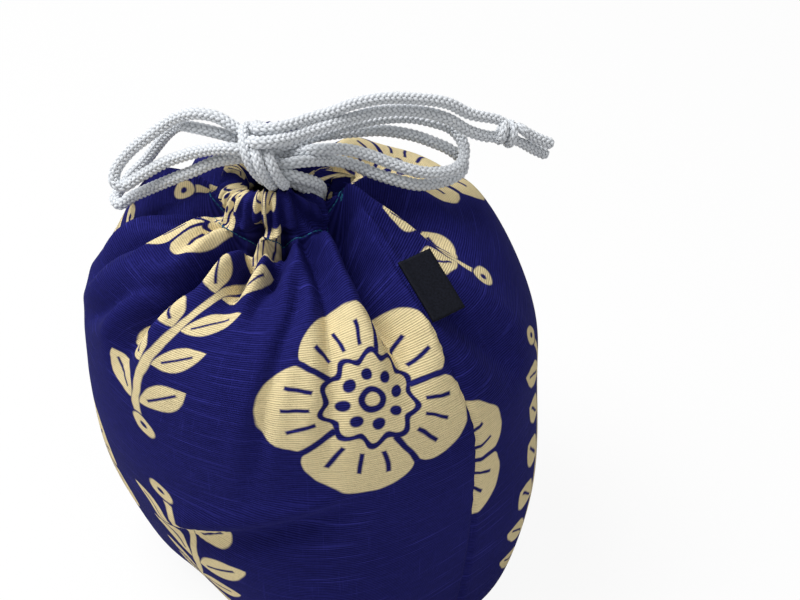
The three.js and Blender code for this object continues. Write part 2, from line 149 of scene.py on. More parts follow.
def soft_route(points, step, softness):
    """An even path through the points, eased by a short running mean as a soft cord eases its bends."""
    points = np.array(points, float)
    gaps = np.sqrt(np.linalg.norm(np.diff(points, axis=0), axis=1))
    slopes = np.diff(points, axis=0) / gaps[:, None]
    inner = (slopes[:-1] * gaps[1:, None] + slopes[1:] * gaps[:-1, None]) / (gaps[:-1] + gaps[1:])[:, None]
    tangents = np.vstack([slopes[:1], inner, slopes[-1:]])
    share = np.linspace(0, 1, 32, endpoint=False)[:, None]
    spans = []
    for k, gap in enumerate(gaps):
        spans.append((1 + 2 * share) * (1 - share) ** 2 * points[k]
                     + share * (1 - share) ** 2 * gap * tangents[k]
                     + share ** 2 * (3 - 2 * share) * points[k + 1]
                     + share ** 2 * (share - 1) * gap * tangents[k + 1])
    path = evenly(np.vstack(spans + [points[-1:]]), step)
    reach = int(softness / step)
    padded = np.vstack([2 * path[:1] - path[reach:0:-1], path, 2 * path[-1:] - path[-2:-reach - 2:-1]])
    mean = np.hanning(2 * reach + 3)[1:-1]
    eased = [np.convolve(padded[:, axis], mean / mean.sum(), "valid") for axis in range(3)]
    return evenly(np.column_stack(eased), step)


def distances(path):
    """How far along a path each of its points lies."""
    return np.concatenate([[0], np.cumsum(np.linalg.norm(np.diff(path, axis=0), axis=1))])


def evenly(path, step):
    """The same path with its points a fixed step apart."""
    along = distances(path)
    places = np.linspace(0, along[-1], int(round(along[-1] / step)) + 1)
    return np.column_stack([np.interp(places, along, path[:, axis]) for axis in range(3)])


def path_frames(path):
    """Two directions square to the path at every point, carried along without twist."""
    tangents = np.gradient(path, axis=0)
    tangents /= np.linalg.norm(tangents, axis=1)[:, None]
    side = np.cross(tangents[0], (0, 1, 0))
    sides = []
    for tangent in tangents:
        side = side - tangent * side.dot(tangent)
        side = side / np.linalg.norm(side)
        sides.append(side)
    sides = np.array(sides)
    return sides, np.cross(tangents, sides)


def new_mesh_object(name, points, faces):
    """A linked object at the origin with this mesh, smooth shaded."""
    mesh = bpy.data.meshes.new(name)
    mesh.from_pydata([tuple(p) for p in points], [], faces)
    mesh.shade_smooth()
    obj = bpy.data.objects.new(name, mesh)
    scene.collection.objects.link(obj)
    return obj


def add_number(mesh, name, numbers):
    """A value at each vertex, which a material reads by its name."""
    values = np.asarray(numbers, np.float32).ravel()
    mesh.attributes.new(name, "FLOAT", "POINT").data.foreach_set("value", values)


def plaited_cord(name, route):
    """A tube covered in slanted stitches of yarn, in columns that lean left and right by turns."""
    ring_step = PLAIT_STITCH / RINGS_PER_STITCH
    points = [point for stretch in route.values() for point in stretch]
    path = soft_route(points, ring_step / MM, ROUTE_SOFTNESS / MM) * MM
    pinches = [KNOT_PINCH if "band" in stretch or "knot" in stretch else 1
               for stretch, stops in route.items() for _ in stops]
    places = distances(points)
    pinch = np.interp(np.linspace(0, places[-1], len(path)), places, pinches)[:, None]
    sides, uprights = path_frames(path)
    count = PLAIT_COLUMNS * SIDES_PER_COLUMN
    along = np.arange(len(path))[:, None] * ring_step
    around = np.arange(count)[None, :] / count
    height = np.zeros((len(path), count))
    for beside in (-1, 0, 1):
        column = np.floor(around * PLAIT_COLUMNS + 1e-6) + beside
        odd = column % 2
        across = around * PLAIT_COLUMNS - column - 0.5
        stitch = (along / PLAIT_STITCH + 0.5 * odd + PLAIT_LEAN * (2 * odd - 1) * across) % 1 - 0.5
        dome = 1 - (across / PLAIT_WIDE) ** 2 - (stitch / PLAIT_LONG) ** 2
        height = np.maximum(height, np.sqrt(np.clip(dome, 0, 1)))
    from_end = np.minimum(along, along[-1] - along)
    melted = np.sqrt(np.clip(1 - (1 - np.clip(from_end / TIP_LENGTH, 0, 1)) ** 2, 0.02, 1))
    radius = (CORD_CORE + PLAIT_HEIGHT * height) * melted * pinch
    angle = tau * around[..., None]
    spokes = np.cos(angle) * sides[:, None] + np.sin(angle) * uprights[:, None]
    points = (path[:, None] + radius[..., None] * spokes).reshape(-1, 3)
    last_ring = (len(path) - 1) * count
    faces = []
    for ring in range(0, last_ring, count):
        for s in range(count):
            after = (s + 1) % count
            faces.append((ring + s, ring + after, ring + count + after, ring + count + s))
    faces.append(tuple(reversed(range(count))))
    faces.append(tuple(last_ring + s for s in range(count)))
    cord = new_mesh_object(name, points, faces)
    add_number(cord.data, "yarn_height", height)
    return cord, path


class Value:
    """One output of a material's nodes. Arithmetic on it adds Math nodes to the same material."""

    def __init__(self, socket):
        self.socket = socket

    def node(self, kind, settings, sockets, output=0):
        """Any other node: its settings are set first, then the values or links of its sockets."""
        tree = self.socket.id_data
        node = tree.nodes.new(kind)
        for name, value in settings.items():
            setattr(node, name, value)
        for key, value in sockets.items():
            if isinstance(value, Value):
                tree.links.new(value.socket, node.inputs[key])
            else:
                node.inputs[key].default_value = value
        return Value(node.outputs[output])

    def math(self, operation, *values):
        return self.node("ShaderNodeMath", {"operation": operation}, dict(enumerate(values)))

    def __add__(self, other):
        return self.math("ADD", self, other)

    __radd__ = __add__

    def __sub__(self, other):
        return self.math("SUBTRACT", self, other)

    def __rsub__(self, other):
        return self.math("SUBTRACT", other, self)

    def __mul__(self, other):
        return self.math("MULTIPLY", self, other)

    __rmul__ = __mul__

    def __truediv__(self, other):
        return self.math("DIVIDE", self, other)

    def __pow__(self, other):
        return self.math("POWER", self, other)

    def __abs__(self):
        return self.math("ABSOLUTE", self)

    def least(self, other):
        return self.math("MINIMUM", self, other)

    def most(self, other):
        return self.math("MAXIMUM", self, other)

    def wrapped(self, low, high):
        return self.math("WRAP", self, high, low)

    def rises(self, low, high):
        """0 below low, 1 above high, and an even rise between; low above high gives a fall."""
        return self.node("ShaderNodeMapRange", {}, {"Value": self, "From Min": low, "From Max": high})

    def colours(self, first, second):
        """A mix from the first colour, at 0, to the second, at 1."""
        sockets = {0: self}
        for key, colour in ((6, first), (7, second)):
            sockets[key] = colour if isinstance(colour, Value) else (*colour, 1)
        return self.node("ShaderNodeMix", {"data_type": "RGBA"}, sockets, output=2)


def new_material(name, **fixed):
    """A material, its shader with these fixed sockets, and a first value to build from."""
    material = bpy.data.materials.new(name)
    material.use_nodes = True
    shader = material.node_tree.nodes["Principled BSDF"]
    for socket, number in fixed.items():
        shader.inputs[socket.replace("_", " ")].default_value = number
    coordinates = material.node_tree.nodes.new("ShaderNodeTexCoord")
    return material, shader, Value(coordinates.outputs["Object"])


def feed(shader, **values):
    """Links values to the shader's sockets."""
    for socket, value in values.items():
        shader.id_data.links.new(value.socket, shader.inputs[socket.replace("_", " ")])


def cord_yarn():
    """Matt yarn, greyer and darker in the clefts between its stitches, where shade is painted into its
    colour.
    """
    material, shader, place = new_material("cord_yarn", Specular_IOR_Level=0.25, Sheen_Weight=0.25)
    height = place.node("ShaderNodeAttribute", {"attribute_name": "yarn_height"}, {}, output=2)
    fibre = place.node("ShaderNodeTexNoise", {}, {"Vector": place, "Scale": FIBRE_SCALE, "Detail": 2.0})
    # Painted shade: the yarn's grey darkens from the top of each stitch down into the clefts between the
    # stitches.
    lit_crown = height.rises(0.15, 0.8)
    worn = place.node("ShaderNodeTexNoise", {}, {"Vector": place, "Scale": WEAR_SCALE, "Detail": 1.0})
    tone = lit_crown * (0.66 + 0.3 * fibre + 0.4 * worn)
    fuzz = fibre.node("ShaderNodeBump", {}, {"Strength": 0.25, "Distance": 0.3 * MM, "Height": fibre})
    feed(shader, Base_Color=tone.colours(CORD_PAINTED_SHADE, CORD_COLOUR),
         Roughness=CORD_ROUGHNESS + 0.2 * (1 - lit_crown), Normal=fuzz)
    return material


yarn = cord_yarn()
cord_a_nodes = ("cord_standing_a", "left_loop_a", "right_loop_a", "tail_a", "cord_end_a", "bow_knot")
cord_b_nodes = ("cord_standing_b", "left_loop_b", "right_loop_b", "tail_b", "cord_end_b", "end_knot")
for letter, route, nodes in (("a", CORD_A, cord_a_nodes), ("b", CORD_B, cord_b_nodes)):
    cord, path = plaited_cord("drawcord_" + letter, route)
    cord.data.materials.append(yarn)
    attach(cord, "root")
    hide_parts(*nodes)


# Bag cloth
# A pouch sewn from two panels of slubbed cotton, dyed deep indigo and printed in cream. The panels meet in
# side seams, the base's corners are boxed, and the top is turned in and sewn down as the drawcord's casing.
BASE_LENGTH = 158 * MM
BASE_DEPTH = 114 * MM
BASE_TURN = 40
BASE_EDGE = 13 * MM
BASE_EDGE_RISE = 10 * MM
BASE_SQUARENESS = 3.6
SHOULDER_LENGTH = 177 * MM
SHOULDER_DEPTH = 174 * MM
SHOULDER_HEIGHT = 110 * MM
NECK_RADIUS = 24 * MM
NECK_HEIGHT = 179.5 * MM
NECK_X = -11 * MM
NECK_Y = -5 * MM
NECK_SHIFT_FROM = 115 * MM
NECK_SHIFT_TO = 177.5 * MM
NECK_TILT = 2 * MM
DOME_TILT = 4 * MM
DOME_TILT_RADIUS = 50 * MM
DOME_TILT_WIDTH = 26 * MM
CASING_RADIUS = 20.5 * MM
CASING_HEIGHT = 17.5 * MM
RIM_RADIUS = 15.5 * MM
MOUTH_RADIUS = 9.3 * MM
RIM_DROP = 3.5 * MM
RIM_BACK_RISE = 3 * MM
RIM_SIDE_DROP = 4.5 * MM
SLIT_GAP = 12
SLIT_EASE = 22
SLIT_FOOT = 14
LOBE_FLARE = 13 * MM
LOBE_EASE = 24
SEAM_COLUMN = 53
SEAM_TWIST = 28
SEAM_TWIST_WIDTH = 40
SEAM_TWIST_POWER = 2.5
SEAM_TWIST_STATIONS = 4.6
SEAM_GROOVE = 1.3 * MM
SEAM_GROOVE_WIDTH = 1.3 * MM
SEAM_PUCKER = 0.25 * MM
SEAM_PUCKER_WIDTH = 5 * MM
COLUMN_LEAN = -8
FAN_LEAN = -20
FAN_TURN = -30
FAN_WIDTH = 45
PANEL_WIDTH = 275 * MM
PANEL_CUTS = ((112.5 * MM, 44 * MM), (400 * MM, 0))
CLOTH_THICKNESS = 0.7 * MM
CLOTH_COLUMNS = 336
SEAM_CROWDING = 14
DOME_PLEATS = 17
DOME_PLEAT_DEPTH = 5 * MM
CASING_PLEATS = 27
CASING_PLEAT_DEPTH = 3.6 * MM

# Turns, columns and their widths are in degrees round the pouch, from the front towards the right. Stations
# count the rows of the form, from 0 at the middle of the base to the hem inside the mouth.
EDGE, SHOULDER, NECK, RIM, HEM = 4, 8, 14, 18, 20
SLOPE_STEP = 0.08


def mix(low, high, share):
    """The value at this share of the way from low to high."""
    return low + (high - low) * share


def ease(value, low, high):
    """0 below low, 1 above high, and a smooth step between."""
    share = np.clip((value - low) / (high - low), 0, 1)
    return share * share * (3 - 2 * share)


def turn_between(a, b):
    """The turn from b to a in degrees, the short way round."""
    return (a - b + 540) % 360 - 180


def cloth_stations():
    """Half length, half depth and height of the cloth at each station, from the base's middle to the hem."""
    half_length = BASE_LENGTH / 2
    half_depth = BASE_DEPTH / 2
    shoulder_length = SHOULDER_LENGTH / 2
    shoulder_depth = SHOULDER_DEPTH / 2
    rim = NECK_HEIGHT + CASING_HEIGHT
    rows = [(0, 0, 0), (half_length / 2, half_depth / 2, 0),
            (half_length - BASE_EDGE, half_depth - BASE_EDGE, 0),
            (half_length - 0.4 * BASE_EDGE, half_depth - 0.45 * BASE_EDGE, 0.2 * BASE_EDGE_RISE),
            (half_length, half_depth, BASE_EDGE_RISE)]
    for share in (0.18, 0.46, 0.76):
        rows.append((mix(shoulder_length, half_length, (1 - share) ** 2.4),
                     mix(shoulder_depth, half_depth, (1 - share) ** 1.7),
                     mix(BASE_EDGE_RISE, SHOULDER_HEIGHT, share)))
    for step in range(6):
        angle = step / 5.5 * pi / 2
        rows.append((mix(NECK_RADIUS, shoulder_length, cos(angle)),
                     mix(NECK_RADIUS, shoulder_depth, cos(angle)),
                     mix(SHOULDER_HEIGHT, NECK_HEIGHT, sin(angle))))
    rings = [(NECK_RADIUS, NECK_HEIGHT), (CASING_RADIUS + 1 * MM, NECK_HEIGHT + 0.25 * CASING_HEIGHT),
             (CASING_RADIUS, NECK_HEIGHT + 0.6 * CASING_HEIGHT),
             (CASING_RADIUS - 1.5 * MM, NECK_HEIGHT + 0.9 * CASING_HEIGHT), (RIM_RADIUS, rim),
             (RIM_RADIUS - 3 * MM, rim - 3.6 * MM), (MOUTH_RADIUS, rim - 13.5 * MM),
             (MOUTH_RADIUS - 1 * MM, rim - 20 * MM)]
    return np.array(rows + [(radius, radius, height) for radius, height in rings])


STATIONS = cloth_stations()


def meridian(station):
    """Half length, half depth and height at any station, on a smooth curve through the rows."""
    rows = np.vstack([2 * STATIONS[:1] - STATIONS[1:2], STATIONS, 2 * STATIONS[-1:] - STATIONS[-2:-1]])
    station = np.clip(station, 0, len(STATIONS) - 1)
    first = np.minimum(station.astype(int), len(STATIONS) - 2)
    t = (station - first)[..., None]
    a, b, c, d = (rows[first + k] for k in range(4))
    return 0.5 * (2 * b + (c - a) * t + (2 * a - 5 * b + 4 * c - d) * t ** 2
                  + (3 * b - a - 3 * c + d) * t ** 3)


# Long folds that run down from the gathers: half width and depth in millimetres, sharpness of the valley
# (2 is round, 1 is creased), then turn and station along the valley from its top to its foot.
FOLDS = [
    (4.6, 15.0, 1.3, [(-14, 14.8), (-22.5, 13.9), (-32.5, 13.25), (-38, 12.75), (-42, 11.95), (-46.5, 11.05),
                      (-48.5, 10.2), (-50, 9)]),
    (3.4, 9.0, 1.3, [(16, 14.6), (7, 13.9), (-10, 13.5), (-13.5, 13.05), (-16, 12.4), (-20, 11.5)]),
    (3.2, 6.5, 1.3, [(15, 14.2), (9, 13.65), (4.5, 12.95), (-2.5, 12.5), (-4.5, 12.15), (-7, 11.2)]),
    (3.0, 3.2, 1.15, [(15, 12.5), (4, 11.3), (-4, 10.1), (-9, 9.1), (-16, 7.2)]),
    (3.6, 4.2, 1.15, [(29, 13.4), (22, 11.8), (18, 11.1), (14, 10.2), (8, 9.2), (4, 8)]),
    (5.2, 16.0, 1.3, [(68, 14), (59.5, 13.45), (47, 12.5), (43, 11.9), (41, 11.4), (37, 10.5), (30, 9.3)]),
    (2.4, 4.5, 1.2, [(25, 18), (33, 16), (44, 14.2), (50, 13.2)]),
    (5.0, 10.0, 1.3, [(-70, 15), (-78, 14), (-78, 12.65), (-79.5, 11.85), (-84, 10.85), (-88, 9.4)]),
    (8.0, 5.0, 1.6, [(60, 11), (60, 10.2), (65, 8.4)]),
    (5.5, 13.0, 1.4, [(112, 14.6), (99, 13.3), (90, 12.3), (84, 11.3), (80, 10.4)]),
    (6.0, 6.0, 1.4, [(128, 14.2), (120, 12.8), (116, 11.8), (118, 10.2)]),
    (6.0, 5.0, 1.4, [(-48, 12), (-58, 11.2), (-70, 10), (-80, 9)]),
    (7.0, 8.5, 1.4, [(-85, 14.2), (-98, 12), (-108, 9.4)]),
    (6.0, 7.0, 1.4, [(-120, 14.2), (-138, 11), (-142, 8.6)]),
    (6.0, 7.0, 1.4, [(-158, 14.2), (-160, 9.8)]),
    (7.0, 9.0, 1.4, [(164, 14.2), (170, 8.8)]),
    (6.5, 7.0, 1.4, [(134, 14.2), (126, 9.4)]),
]
FOLD_SWELL = 0.3

# Where the cloth stands up or sags beside the slit, on the shoulders and at the base's left corner: turn and
# half width in degrees, station and half height in stations, and the lift in millimetres.
CRESTS = [(-101, 21, 10.7, 0.8, -9), (120, 31, 10, 1.1, 12.5), (81, 11, 14, 1.2, 5.5),
          (71, 9, 12.9, 0.7, 5.5), (61, 9, 14, 1, -4), (56, 14, 18, 1.5, -4), (-147, 16, 11.9, 1, -7),
          (-73, 16, 4.8, 0.7, -6)]
TUCK_TURN = -17
TUCK_HALF_SPAN = 34
TUCK_STATION = 7.2
TUCK_SLOPE = 0.028
TUCK_WIDTH = 0.3
TUCK_DEPTH = 4.5 * MM


def fold_depth(turn, station, radius):
    """How far the long folds sink below the plain form; the cloth swells a little on both sides of each."""
    depth = np.zeros_like(turn)
    for width, deep, sharpness, line in FOLDS:
        turns, stations = np.array(line[::-1], float).T
        along = (station - stations[0]) / (stations[-1] - stations[0])
        fade = ease(along, 0, 0.5) * ease(1.15 - along, 0, 0.3)
        spread = width * MM * (1.25 - 0.5 * np.clip(along, 0, 1))
        away = np.abs(np.radians(turn_between(turn, np.interp(station, stations, turns)))) * radius / spread
        depth += deep * MM * fade * (np.exp(-away ** sharpness) - FOLD_SWELL * np.exp(-(away - 1.9) ** 2))
    return depth


def tuck_depth(turn, station):
    """The soft crease across the front where the standing pouch slumps on its load."""
    across = turn_between(turn, TUCK_TURN)
    fade = ease(TUCK_HALF_SPAN - np.abs(across), 0, 0.6 * TUCK_HALF_SPAN)
    above = (station - TUCK_STATION - across * TUCK_SLOPE) / TUCK_WIDTH
    return -TUCK_DEPTH * fade * above * np.exp(0.5 - above ** 2)


def crest_lift(turn, station):
    """How far the cloth stands above the even form or, below 0, sags under it."""
    lift = np.zeros_like(turn)
    for middle, width, height, reach, rise in CRESTS:
        across = turn_between(turn, middle) / width
        above = (station - height) / reach
        lift += rise * MM * np.exp(-across ** 2 - above ** 2)
    return lift


def pleat_depth(angle, station):
    """The gathers: round flutes with narrow valleys, fine in the casing and wider on the dome below it."""
    drift = 1.6 * np.sin(angle + 0.6) + 1.1 * np.sin(2 * angle + 2) + 0.7 * np.sin(5 * angle + 1)
    wide = (0.5 - 0.5 * np.cos(DOME_PLEATS * angle + drift)) ** 2.4
    fine = (0.5 - 0.5 * np.cos(CASING_PLEATS * angle + 1.6 * drift)) ** 1.6
    fine = fine * (0.75 + 0.25 * np.sin(5 * angle + 1.3))
    dome = ease(station, NECK - 3.2, NECK - 0.6) * (1 - ease(station, NECK - 0.4, NECK + 1.2))
    casing = ease(station, NECK - 1.4, NECK + 0.8)
    return DOME_PLEAT_DEPTH * wide * dome + CASING_PLEAT_DEPTH * fine * casing


def rim_lift(turn):
    """The casing's top edge: higher behind and lower at the sides."""
    angle = np.radians(turn)
    return -RIM_DROP - RIM_BACK_RISE * np.cos(angle) + RIM_SIDE_DROP * np.cos(2 * angle)


def cloth_point(turn, station, sunk=0):
    """Points of the cloth in metres; turn runs from the front towards the right, in degrees."""
    turn, station = np.broadcast_arrays(np.asarray(turn, float), np.asarray(station, float))
    half_length, half_depth, z = np.moveaxis(meridian(station), -1, 0)
    slope = meridian(station + SLOPE_STEP) - meridian(station - SLOPE_STEP)
    power = np.where(station < SHOULDER, mix(BASE_SQUARENESS, 2, ease(z, 0, SHOULDER_HEIGHT)), 2)
    angle = np.radians(turn)
    side = np.radians(turn - BASE_TURN)
    length_share = np.abs(np.cos(side)) / np.maximum(half_length, 1e-9)
    depth_share = np.abs(np.sin(side)) / np.maximum(half_depth, 1e-9)
    radius = (length_share ** power + depth_share ** power) ** (-1 / power)
    run = 0.5 * (slope[..., 0] + slope[..., 1])
    steep = np.hypot(run, slope[..., 2]) + 1e-12
    level = ease(station, NECK, NECK + 1)
    outward = mix(slope[..., 2] / steep, 1, level)
    upward = mix(-run / steep, 0, level)
    gathered = fold_depth(turn, station, radius) + pleat_depth(angle, station)
    sink = gathered * (1 - ease(station, RIM, RIM + 2.5)) + tuck_depth(turn, station) + sunk
    dressed = np.maximum(radius - outward * sink, 0)
    above = station > NECK
    shift = np.where(above, 1, np.where(station < SHOULDER, 0, ease(z, NECK_SHIFT_FROM, NECK_SHIFT_TO)))
    flat = np.clip(radius / RIM_RADIUS, 0, 1)
    dome_tilt = np.where((station < SHOULDER) | above, 0,
                         DOME_TILT * np.exp(-((radius - DOME_TILT_RADIUS) / DOME_TILT_WIDTH) ** 2))
    tilt = dome_tilt + NECK_TILT * ease(station, NECK - 1, NECK + 1) * flat
    casing_share = np.clip((z - NECK_HEIGHT) / CASING_HEIGHT, 0, 1)
    lift = np.where(above, rim_lift(turn) * casing_share * flat, 0) + crest_lift(turn, station)
    return np.stack([NECK_X * shift + dressed * np.sin(angle), NECK_Y * shift - dressed * np.cos(angle),
                     np.maximum(z - upward * sink - tilt * np.cos(angle) + lift, 0)], -1)


def column_turn(column, station):
    """The turn of a thread that runs up the cloth, fanned left, twisted at the neck, parted at the slit."""
    from_neck = np.clip((NECK - station) / (NECK - SHOULDER - 1), 0, 1)
    fan = FAN_LEAN * np.exp(-(turn_between(column, FAN_TURN) / FAN_WIDTH) ** 2)
    from_seam = column - SEAM_COLUMN
    twist = SEAM_TWIST * np.exp(-(turn_between(column, SEAM_COLUMN) / SEAM_TWIST_WIDTH) ** 2)
    part = SLIT_GAP * (np.exp(-from_seam / SLIT_EASE) - np.exp((from_seam - 360) / SLIT_EASE))
    climb = np.clip((station - NECK) / SEAM_TWIST_STATIONS + 1, 0, 1)
    return (column + (fan + COLUMN_LEAN) * from_neck + twist * climb ** SEAM_TWIST_POWER
            + part * ease(station, SLIT_FOOT, SLIT_FOOT + 1.6))


def cloth_at(column, station):
    """The cloth where this thread crosses this station, with the groove of the two side seams."""
    column, station = np.broadcast_arrays(np.asarray(column, float), np.asarray(station, float))
    reach = meridian(station)[..., :2].mean(axis=-1)
    from_seam = np.radians((column - SEAM_COLUMN + 90) % 180 - 90) * reach
    sewn = ease(station, 3, 5)
    groove = SEAM_GROOVE * np.exp(-(from_seam / SEAM_GROOVE_WIDTH) ** 2)
    pucker = SEAM_PUCKER * np.exp(-(from_seam / SEAM_PUCKER_WIDTH) ** 2) * np.sin(19 * station + 0.2 * column)
    flare = LOBE_FLARE * np.exp(-np.clip(column - SEAM_COLUMN, 0, 360) / LOBE_EASE)
    flare = flare * ease(station, NECK - 0.4, RIM) * (1 - ease(station, RIM + 0.5, HEM))
    return cloth_point(column_turn(column, station), station, (groove + pucker) * sewn - flare)


def cloth_rows():
    """Stations of the mesh rows, closer together where the cloth bends more."""
    stretches = ((0, 2, 4), (2, EDGE, 12), (EDGE, SHOULDER, 27), (SHOULDER, NECK - 3, 35),
                 (NECK - 3, NECK, 30), (NECK, RIM, 26), (RIM, HEM, 8))
    rows = [np.linspace(low, high, count, endpoint=False) for low, high, count in stretches]
    return np.concatenate(rows + [[HEM]])[1:]


def cloth_columns():
    """Threads that the mesh follows, from the side seam right round to it again, closer at the seams."""
    share = np.arange(CLOTH_COLUMNS + 1) / CLOTH_COLUMNS
    return SEAM_COLUMN + 360 * share - SEAM_CROWDING * np.sin(2 * tau * share)


def cloth_lengths(rows):
    """Length of cloth from the middle of the base, where it is 0, to each row."""
    lines = meridian(rows)
    return distances(np.vstack([[0, 0], np.column_stack([lines[:, :2].mean(axis=1), lines[:, 2]])]))


def cloth_sheet():
    """One sheet from the base's middle to the hem inside the mouth, sewn up the side to the slit's foot."""
    rows = cloth_rows()
    columns = cloth_columns()
    station, column = np.meshgrid(rows, columns, indexing="ij")
    points = cloth_at(column, station).reshape(-1, 3)
    width = len(columns)
    slit_row = int(np.searchsorted(rows, SLIT_FOOT))

    def corner(row, place):
        """The vertex at a row and column; below the slit the last column is the first again."""
        return 1 + row * width + (place % CLOTH_COLUMNS if row < slit_row else place)

    faces = [(0, corner(0, c + 1), corner(0, c)) for c in range(CLOTH_COLUMNS)]
    faces += [(corner(r, c), corner(r, c + 1), corner(r + 1, c + 1), corner(r + 1, c))
              for r in range(len(rows) - 1) for c in range(CLOTH_COLUMNS)]
    sheet = new_mesh_object("bag_cloth", np.vstack([cloth_at(0, 0)[None], points]), faces)
    around = PANEL_WIDTH * (columns - SEAM_COLUMN) / 180
    lengths = cloth_lengths(rows)
    flat = []
    for r in range(len(rows)):
        for c in range(CLOTH_COLUMNS):
            across, up = PANEL_CUTS[c * 2 // CLOTH_COLUMNS]
            left, right = around[c] + across, around[c + 1] + across
            low, high = lengths[r] + up, lengths[r + 1] + up
            if r == 0:
                flat += [(left, low), (right, high), (left, high)]
            else:
                flat += [(left, low), (right, low), (right, high), (left, high)]
    uv = sheet.data.uv_layers.new(name="flat_cloth").data
    uv.foreach_set("uv", np.array(flat, np.float32).ravel())
    return sheet


def give_thickness(sheet, thickness):
    """Makes the sheet a closed thin wall, grown inwards, with its edges closed over."""
    wall = sheet.modifiers.new("wall", "SOLIDIFY")
    wall.thickness = thickness
    wall.offset = -1
    plain = bpy.data.meshes.new_from_object(sheet.evaluated_get(bpy.context.evaluated_depsgraph_get()))
    sheet.modifiers.remove(wall)
    sheet.data = plain


INDIGO = (0.0064, 0.0066, 0.070)
INDIGO_SLUB = (0.034, 0.035, 0.265)
CREAM = (0.80, 0.67, 0.385)
WEFT_PITCH = 0.85 * MM
WARP_PITCH = 0.6 * MM
BLOSSOM_PITCH = 137.5 * MM
BLOSSOM_ROW = 152 * MM
BLOSSOM_START = 92 * MM
BLOSSOM_FOOT = 62 * MM
PRINT_WAVE = 17 * MM

# The printed motifs: counts, and sizes in millimetres.
BLOSSOM_RADIUS = 37
PETALS = 5
SCALLOPS = 10
SEEDS = 8
SEED_RADIUS = 2.1
HEART_RADIUS = 3.6
STROKES = 20
STROKE_HALF_LENGTH = 4.5
SPRIG_LENGTH = 112
SPRIG_SWAY = 8
SPRIG_WAVE = 21
STEM_HALF_WIDTH = 1.7
LEAF_PITCH = 18
LEAF_ROWS = 3
LEAF_LENGTH = 21
LEAF_WIDTH = 5.2
LEAF_SLANT = radians(38)
BERRY_RADIUS = 4.2
BERRY_EYE = 1.3
LINE = 1.15
PRINT_EDGE = 0.35
LINE_EDGE = 0.3


def blossom(x, y):
    """Five scalloped petals with a ring of seeds; 1 where the cream is printed."""
    far = (x * x + y * y) ** 0.5
    angle = y.math("ARCTAN2", y, x)
    petal_turn = angle * (PETALS / 2)
    petal = abs(petal_turn.math("SINE", petal_turn))
    outline = far - BLOSSOM_RADIUS * (0.72 + 0.28 * petal ** 0.55)
    parting = (petal * far * 0.4).most(0.46 * BLOSSOM_RADIUS - far) - LINE
    scallop_turn = angle * SCALLOPS
    ring = abs(far - 0.42 * BLOSSOM_RADIUS - 1.4 * scallop_turn.math("SINE", scallop_turn)) - LINE
    seed_turn = angle.wrapped(-pi / SEEDS, pi / SEEDS)
    seed_x = far * seed_turn.math("COSINE", seed_turn) - 0.25 * BLOSSOM_RADIUS
    seed_y = far * seed_turn.math("SINE", seed_turn)
    seeds = (seed_x * seed_x + seed_y * seed_y) ** 0.5 - SEED_RADIUS
    heart = abs(far - HEART_RADIUS) - LINE
    stroke_turn = angle.wrapped(-pi / STROKES, pi / STROKES)
    stroke = (abs(far * stroke_turn) - 0.75).most(abs(far - 0.66 * BLOSSOM_RADIUS) - STROKE_HALF_LENGTH)
    lines = parting.least(ring).least(seeds).least(heart).least(stroke)
    return outline.rises(PRINT_EDGE, -PRINT_EDGE) * lines.rises(-LINE_EDGE, LINE_EDGE)


def sprig(x, y):
    """A swaying stem with leaves in pairs, each with a parted midrib; 1 where the cream is printed."""
    sway = x - SPRIG_SWAY * (y / SPRIG_WAVE).math("SINE", y / SPRIG_WAVE)
    stem = (abs(sway) - STEM_HALF_WIDTH).most(abs(y) - 0.5 * SPRIG_LENGTH)
    row = y.math("FLOOR", y / LEAF_PITCH).most(-LEAF_ROWS).least(LEAF_ROWS - 1)
    along = y - LEAF_PITCH * (row + 0.2)
    out = abs(sway) - 2
    run = out * cos(LEAF_SLANT) + along * sin(LEAF_SLANT)
    side = along * cos(LEAF_SLANT) - out * sin(LEAF_SLANT)
    share = (run / LEAF_LENGTH).most(0).least(1)
    leaf = abs(side) - LEAF_WIDTH * (share * pi).math("SINE", share * pi) ** 0.8
    leaf = leaf.most(0 - run).most(run - LEAF_LENGTH)
    rib = (abs(side) - 0.55).most(4 - run).most(run - 0.8 * LEAF_LENGTH)
    berry_y = abs(y) - 0.5 * SPRIG_LENGTH - 5
    berry = (sway * sway + berry_y * berry_y) ** 0.5
    printed = stem.least(leaf).least(berry - BERRY_RADIUS).rises(PRINT_EDGE, -PRINT_EDGE)
    return printed * rib.least(berry - BERRY_EYE).rises(-LINE_EDGE, LINE_EDGE)


def print_mask(u, v):
    """A block-printed repeat on the flat cloth, in half drop: blossoms, with sprigs between their columns."""
    spread = u.node("ShaderNodeCombineXYZ", {}, {"X": u / PRINT_WAVE, "Y": v / PRINT_WAVE})
    wave = u.node("ShaderNodeTexNoise", {"noise_dimensions": "2D"},
                  {"Vector": spread, "Scale": 1.0, "Detail": 2.0})
    across = (u - BLOSSOM_START) / BLOSSOM_PITCH + 0.024 * (wave - 0.5)
    up = (v - BLOSSOM_FOOT) / BLOSSOM_ROW + 0.02 * (wave - 0.5)
    column = across.math("FLOOR", across + 0.5)
    x = (across - column) * (BLOSSOM_PITCH / MM)
    y = (up + 0.5 * column).wrapped(-0.5, 0.5) * (BLOSSOM_ROW / MM)
    between = across.math("FLOOR", across)
    sprig_x = (across - between - 0.5) * (BLOSSOM_PITCH / MM)
    sprig_y = (up + 0.5 * between + 0.25).wrapped(-0.5, 0.5) * (BLOSSOM_ROW / MM)
    return blossom(x, y).most(sprig(sprig_x, sprig_y))


